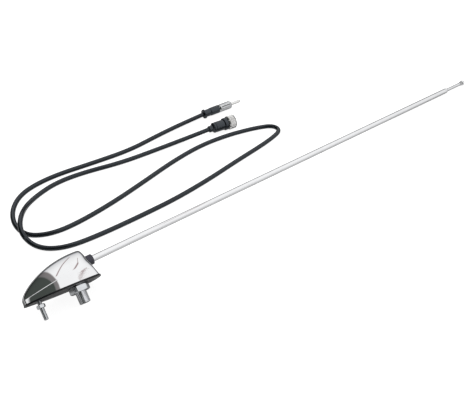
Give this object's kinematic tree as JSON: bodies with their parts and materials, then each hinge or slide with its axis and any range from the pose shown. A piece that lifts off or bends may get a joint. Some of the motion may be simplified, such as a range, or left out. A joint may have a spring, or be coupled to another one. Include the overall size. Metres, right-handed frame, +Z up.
{
  "type": "fender antenna",
  "caption": "Chrome fender antenna lying on its side: boat-shaped base with gasket, hollow stub, nuts and stud, telescopic mast with ball tip, and a coiled coaxial lead with coupling and plug.",
  "frame": {"origin": "on the floor under the middle of the antenna's own bounding box, the loose lead left out", "axes": "+X towards the mast's tip, seen from above; +Z up; -Y is the side that the stub and the front stud point to"},
  "size_m": [0.6154, 0.1878, 0.0366],
  "materials": {
    "chrome_casting": "polished",
    "gasket_rubber": "matt",
    "plated_brass": "bright plated",
    "white_insulator": "plain",
    "brass": "turned",
    "zinc_plate": "zinc plated",
    "black_plastic": "satin",
    "chrome_tube": "polished",
    "boot_plastic": "satin",
    "nickel": "bright nickel",
    "cable_jacket": "satin"
  },
  "bodies": {
    "base": {"base_housing": "chrome_casting", "gasket": "gasket_rubber", "mounting_stub": "plated_brass", "stub_insulator": "white_insulator", "stub_contact": "brass", "stub_nut": "zinc_plate", "front_stud": "zinc_plate", "front_nut": "zinc_plate", "mast_collar": "black_plastic", "mast_foot": "brass", "feed_strip": "brass", "mast_outer_tube": "chrome_tube", "coupling_boot": "boot_plastic", "coupling_body": "nickel", "coupling_insulator": "white_insulator", "coupling_pin": "brass", "plug_boot": "boot_plastic", "plug_barrel": "nickel", "plug_insulator": "white_insulator", "plug_pin": "nickel", "lead_cable": "cable_jacket"},
    "middle_section": {"mast_middle_tube": "chrome_tube", "middle_foot": "brass"},
    "tip_section": {"mast_tip_rod": "chrome_tube", "tip_foot": "brass", "mast_tip_ball": "chrome_tube"},
    "coupling_ring": {"coupling_nut": "nickel"}
  },
  "joints": [
    {"name": "middle_slide", "type": "slide", "parent": "base", "child": "middle_section", "axis": [0.9993, 0, -0.0375], "range_m": [0, 0.45]},
    {"name": "tip_slide", "type": "slide", "parent": "middle_section", "child": "tip_section", "axis": [0.9993, 0, -0.0375], "range_m": [-0.027, 0.41]},
    {"name": "coupling_spin", "type": "hinge", "parent": "base", "child": "coupling_ring", "pos_m": [0.01345, 0.11962, 0.008], "axis": [0.9914, -0.1305, 0], "continuous": true}
  ]
}
